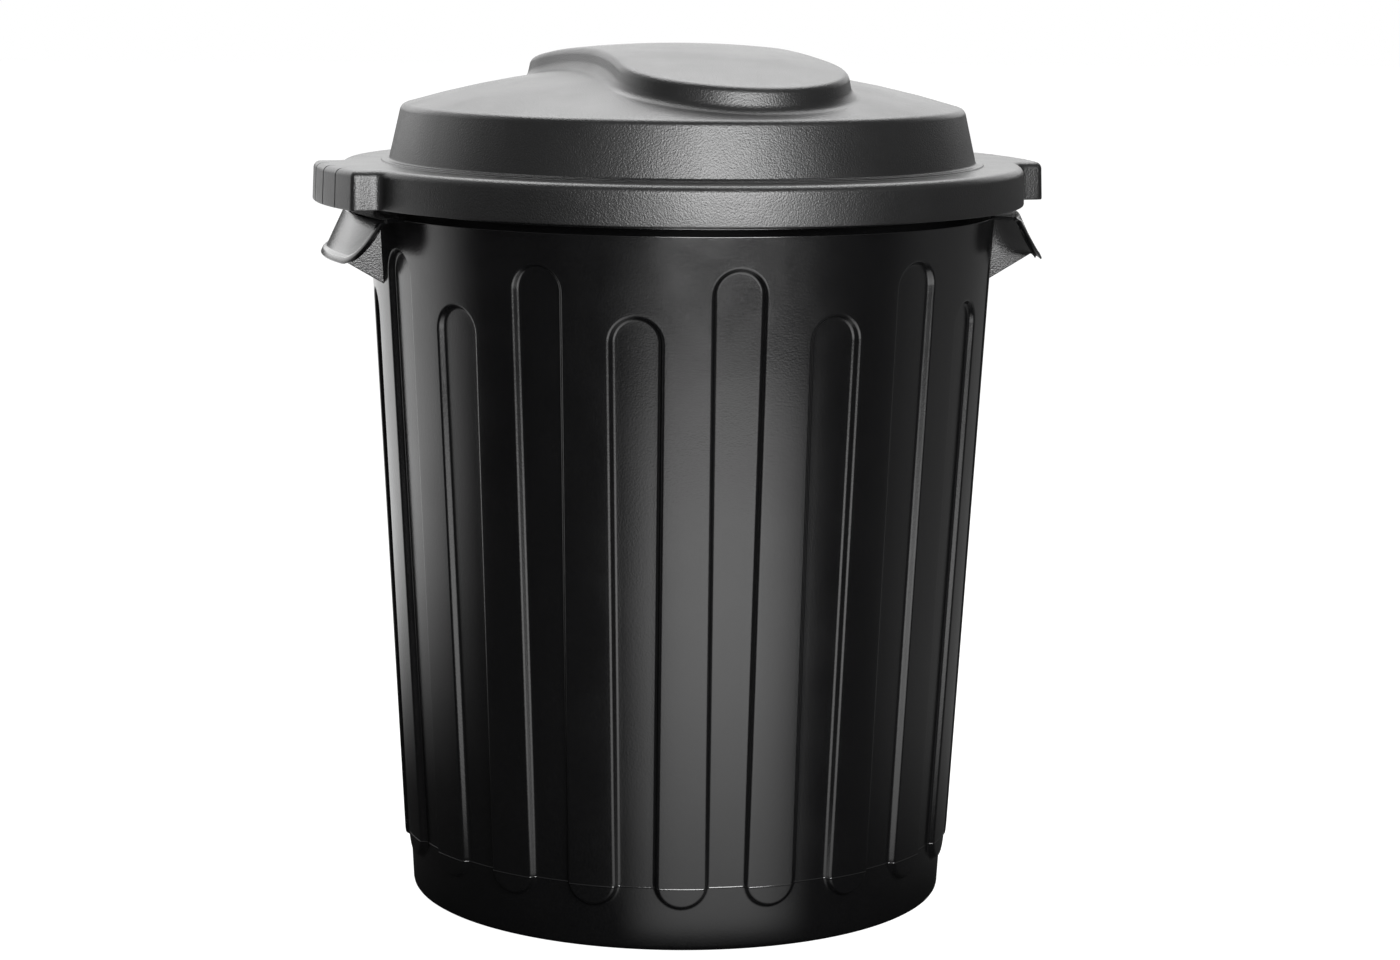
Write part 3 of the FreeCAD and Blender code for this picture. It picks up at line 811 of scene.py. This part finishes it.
def node(tree, kind, inputs=None, **settings):
    """Add a node with its settings, and feed its inputs by their names or places."""
    made = tree.nodes.new(kind)
    for name, value in settings.items():
        setattr(made, name, value)
    for name, value in (inputs or {}).items():
        feed(tree, made.inputs[name], value)
    return made


def math_node(tree, operation, *values):
    return node(tree, "ShaderNodeMath", dict(enumerate(values)), operation=operation).outputs[0]


def vector_node(tree, operation, *values):
    made = node(tree, "ShaderNodeVectorMath", dict(enumerate(values)), operation=operation)
    gives_number = operation in ("DOT_PRODUCT", "LENGTH")
    return made.outputs["Value" if gives_number else "Vector"]


def ramp(tree, value, low, high, level=1.0):
    """Smooth rise of a value between a low and a high mark, from nothing to a level."""
    inputs = {"Value": value, "From Min": low, "From Max": high, "To Max": level}
    made = node(tree, "ShaderNodeMapRange", inputs, interpolation_type="SMOOTHSTEP")
    return made.outputs["Result"]


def height_of(tree, place):
    return node(tree, "ShaderNodeSeparateXYZ", {0: place}).outputs["Z"]


# Black plastic of both mouldings, and the parting line of the bin's mould, low on the wall.
SEAM_LEVEL = 0.0445
SEAM_WIDTH = 0.0014
WAVE_SCALE = 11
PATCH_SCALE = 26
SHEEN_SPREAD = 0.03
DARK_GRAIN = (0.0022, 0.0022, 0.0024, 1)
LIGHT_GRAIN = (0.0055, 0.0055, 0.0058, 1)
BIN_FINISH = {
    "Grain Scale": 900,
    "Grain Height": 0.00008,
    "Wave Height": 0.0004,
    "Sheen": 0.19,
    "Seam Height": 0.0002,
}
LID_FINISH = {
    "Grain Scale": 900,
    "Grain Height": 0.00024,
    "Wave Height": 0.0003,
    "Sheen": 0.37,
}


def moulded_grain():
    """Surface of moulded black plastic: a fine grain, broad waves, patches of more or less sheen
    and a parting line."""
    tree = bpy.data.node_groups.new("moulded_grain", "ShaderNodeTree")
    for name in ("Grain Scale", "Grain Height", "Wave Height", "Sheen", "Seam Height"):
        tree.interface.new_socket(name, in_out="INPUT", socket_type="NodeSocketFloat")
    for name, kind in (("Colour", "Color"), ("Roughness", "Float"), ("Height", "Float")):
        tree.interface.new_socket(name, in_out="OUTPUT", socket_type="NodeSocket" + kind)
    given = node(tree, "NodeGroupInput").outputs
    place = node(tree, "ShaderNodeTexCoord").outputs["Object"]

    def noise(scale, detail):
        inputs = {"Vector": place, "Scale": scale, "Detail": detail}
        return node(tree, "ShaderNodeTexNoise", inputs).outputs["Fac"]

    grain = noise(given["Grain Scale"], 2)
    fine = math_node(tree, "MULTIPLY", grain, given["Grain Height"])
    waves = noise(WAVE_SCALE, 1)
    wavy = math_node(tree, "MULTIPLY_ADD", waves, given["Wave Height"], fine)
    off_seam = math_node(tree, "SUBTRACT", height_of(tree, place), SEAM_LEVEL)
    seam = ramp(tree, math_node(tree, "ABSOLUTE", off_seam), SEAM_WIDTH / 2, 0.0)
    raised = math_node(tree, "MULTIPLY_ADD", seam, given["Seam Height"], wavy)
    spread = node(tree, "ShaderNodeMapRange", {
        "Value": noise(PATCH_SCALE, 3),
        "From Min": 0.3,
        "From Max": 0.7,
        "To Min": -SHEEN_SPREAD,
        "To Max": SHEEN_SPREAD,
    })
    roughness = math_node(tree, "ADD", spread.outputs["Result"], given["Sheen"])
    colour = node(tree, "ShaderNodeValToRGB", {"Fac": grain})
    dark, light = colour.color_ramp.elements
    dark.position = 0.35
    dark.color = DARK_GRAIN
    light.position = 0.75
    light.color = LIGHT_GRAIN
    node(tree, "NodeGroupOutput", {
        "Colour": colour.outputs["Color"],
        "Roughness": roughness,
        "Height": raised,
    })
    return tree


def black_plastic(name, surface, finish):
    material = bpy.data.materials.new(name)
    material.use_nodes = True
    tree = material.node_tree
    shader = tree.nodes["Principled BSDF"]
    shader.inputs["Specular IOR Level"].default_value = 1.0
    grain = node(tree, "ShaderNodeGroup", finish, node_tree=surface).outputs
    bump = node(tree, "ShaderNodeBump", {"Distance": 1.0, "Height": grain["Height"]})
    feed(tree, shader.inputs["Base Color"], grain["Colour"])
    feed(tree, shader.inputs["Roughness"], grain["Roughness"])
    feed(tree, shader.inputs["Normal"], bump.outputs["Normal"])
    return material


# Floor: how light its surface is to the can, dark as painted shade, and to the camera, how bright
# it looks to the camera, how far in front of the can its patches of painted glow start, the share
# of the way to its end at which a patch begins to fade, and how far from the foot, past a painted
# shadow, the patches are full.
FLOOR_SIZE = 30
FLOOR_PAINTED_SHADE = 0.02
FLOOR_LIGHT = 0.25
FLOOR_WHITE = 0.97
GLOW_PATCH_FRONT = 0.1
GLOW_PATCH_FULL = 0.75
FOOT_PAINTED_SHADOW = 0.06
# painted glow patches, which the can mirrors as highlights: direction (right, away), angles aside
# at which one is gone and full, distances at which it begins, is full and ends, and its level
PAINTED_GLOW_PATCHES = (
    (0.27, -0.963, 42, 2, -0.6, 1.2, 2.0, 1.65),
    (-0.66, 0.75, 60, 8, 0.4, 1.6, 9, 1.25),
    (0.82, 0.57, 50, 20, 0.1, 0.8, 9, 0.13),
)


def painted_glow_patch(tree, place, toward, wide, narrow, dim, bright, end, level):
    """How brightly the floor glows in one direction from the can, a painted glow for the can to
    mirror:
    fading out to both sides between two angles, rising from the dim distance to the bright one, and
    gone at its end."""
    aside = vector_node(tree, "DOT_PRODUCT", vector_node(tree, "NORMALIZE", place), toward)
    distance = vector_node(tree, "LENGTH", place)
    across = ramp(tree, aside, math.cos(math.radians(wide)), math.cos(math.radians(narrow)))
    along = ramp(tree, distance, dim, bright, level)
    within = ramp(tree, distance, end, GLOW_PATCH_FULL * end)
    return math_node(tree, "MULTIPLY", math_node(tree, "MULTIPLY", across, along), within)


def painted_floor_glow(tree):
    """Painted glow of the floor's patches, which the can mirrors, faded toward the can's foot as a
    painted shadow.
    """
    place = node(tree, "ShaderNodeTexCoord").outputs["Object"]
    from_front = vector_node(tree, "SUBTRACT", place, seen_from_camera(0, -GLOW_PATCH_FRONT, 0))
    painted_glow = None
    for right, away, *fade in PAINTED_GLOW_PATCHES:
        patch = painted_glow_patch(tree, from_front, seen_from_camera(right, away, 0), *fade)
        painted_glow = math_node(tree, "ADD", painted_glow, patch) if painted_glow else patch
    from_middle = vector_node(tree, "LENGTH", place)
    # the patches fade out near the can's foot: a painted shadow on the floor
    past_painted_shadow = ramp(tree, from_middle, FOOT_RADIUS, FOOT_RADIUS + FOOT_PAINTED_SHADOW)
    return math_node(tree, "MULTIPLY", painted_glow, past_painted_shadow)


def lay_floor():
    """White floor with a faint shadow to the camera, and to the can a dark one, painted shade, with
    patches of painted glow that fade toward its foot in a painted shadow."""
    bpy.ops.object.select_all(action="DESELECT")
    bpy.ops.mesh.primitive_plane_add(size=FLOOR_SIZE, location=(0, 0, 0))
    floor = bpy.context.object
    floor.name = "floor"
    material = bpy.data.materials.new("floor_white")
    material.use_nodes = True
    material.cycles.emission_sampling = "NONE"
    tree = material.node_tree
    shader = tree.nodes["Principled BSDF"]
    shader.inputs["Roughness"].default_value = 1.0
    shader.inputs["Specular IOR Level"].default_value = 0.0
    shader.inputs["Emission Color"].default_value = (1, 1, 1, 1)
    to_camera = node(tree, "ShaderNodeLightPath").outputs["Is Camera Ray"]
    # to the can the floor's colour is dark, a painted shade; to the camera it is light
    shade = {"Value": to_camera, "To Min": FLOOR_PAINTED_SHADE, "To Max": FLOOR_LIGHT}
    colour = node(tree, "ShaderNodeMapRange", shade)
    feed(tree, shader.inputs["Base Color"], colour.outputs["Result"])
    # to the can the floor glows in patches, a painted glow; to the camera it glows white
    glow = {"Factor": to_camera, "A": painted_floor_glow(tree), "B": FLOOR_WHITE}
    strength = node(tree, "ShaderNodeMix", glow, data_type="FLOAT")
    feed(tree, shader.inputs["Emission Strength"], strength.outputs["Result"])
    floor.data.materials.append(material)


# World: level of the dim room, and of its bright part behind the can with the cosines from
# straight away and the heights between which that fades in. Its lower edge rises to the sides.
ROOM_LEVEL = 0.16
BEHIND_LEVEL = 1.55
BEHIND_COSINES = (0.5, 0.92)
BEHIND_HEIGHTS = (-0.01, 0.1)
BEHIND_RISE = 0.25


def light_world():
    """World that is white to the camera and, to the can, a dim room with a bright part behind."""
    world = bpy.data.worlds.new("studio")
    bpy.context.scene.world = world
    world.use_nodes = True
    tree = world.node_tree
    background = tree.nodes["Background"]
    background.inputs["Color"].default_value = (1, 1, 1, 1)
    place = node(tree, "ShaderNodeTexCoord").outputs["Generated"]
    away = vector_node(tree, "DOT_PRODUCT", place, seen_from_camera(0, 1, 0))
    right = vector_node(tree, "DOT_PRODUCT", place, seen_from_camera(1, 0, 0))
    aside = math_node(tree, "MULTIPLY", right, right)
    rising = math_node(tree, "MULTIPLY", aside, BEHIND_RISE)
    behind = ramp(tree, away, *BEHIND_COSINES, BEHIND_LEVEL)
    above = ramp(tree, math_node(tree, "SUBTRACT", height_of(tree, place), rising), *BEHIND_HEIGHTS)
    dim_room = math_node(tree, "ADD", math_node(tree, "MULTIPLY", behind, above), ROOM_LEVEL)
    to_camera = node(tree, "ShaderNodeLightPath").outputs["Is Camera Ray"]
    seen = math_node(tree, "MAXIMUM", dim_room, to_camera)
    feed(tree, background.inputs["Strength"], seen)


# Lamps: name, place and aim as seen from the camera, width, height and level.
SOFTBOXES = (
    ("front_softbox", (0.68, -2.7, 1.03), (0, 0, 0.29), 2.0, 1.44, 10.5),
    ("top_softbox", (0.0, 0.9, 2.2), (0, 0, 0.5), 2.2, 1.6, 3.6),
    ("left_board", (-1.0, 0.6, 0.95), (0, 0, 0.6), 1.2, 1.0, 0.8),
)


def softbox(name, place, aim, width, height, level):
    """Area lamp at a place, aimed at a point, whose level is how bright it looks in a mirror."""
    lamp = bpy.data.lights.new(name, "AREA")
    lamp.shape = "RECTANGLE"
    lamp.size = width
    lamp.size_y = height
    lamp.energy = level * math.pi * width * height
    light = bpy.data.objects.new(name, lamp)
    bpy.context.scene.collection.objects.link(light)
    stand = seen_from_camera(*place)
    toward = seen_from_camera(*aim) - stand
    turn = toward.to_track_quat("-Z", "Y").to_matrix().to_4x4()
    light.matrix_world = Matrix.Translation(stand) @ turn
    light.visible_camera = False


# The scene: camera, floor, light and the two mouldings in place of their solids.
place_camera()
lay_floor()
light_world()
for settings in SOFTBOXES:
    softbox(*settings)
surface = moulded_grain()
for make, node_name, body, slot, finish in (
    (bin_moulding, "bin_body", "bin", "bin_plastic", BIN_FINISH),
    (lid_moulding, "lid", "lid", "lid_plastic", LID_FINISH),
):
    piece = make()
    plastic = black_plastic(slot, surface, finish)
    piece.data.materials.clear()
    piece.data.materials.append(plastic)
    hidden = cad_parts[node_name]
    hidden.data.materials.clear()
    hidden.data.materials.append(plastic)
    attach(piece, body)
    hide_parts(node_name)

bpy.context.scene.view_settings.view_transform = "Standard"
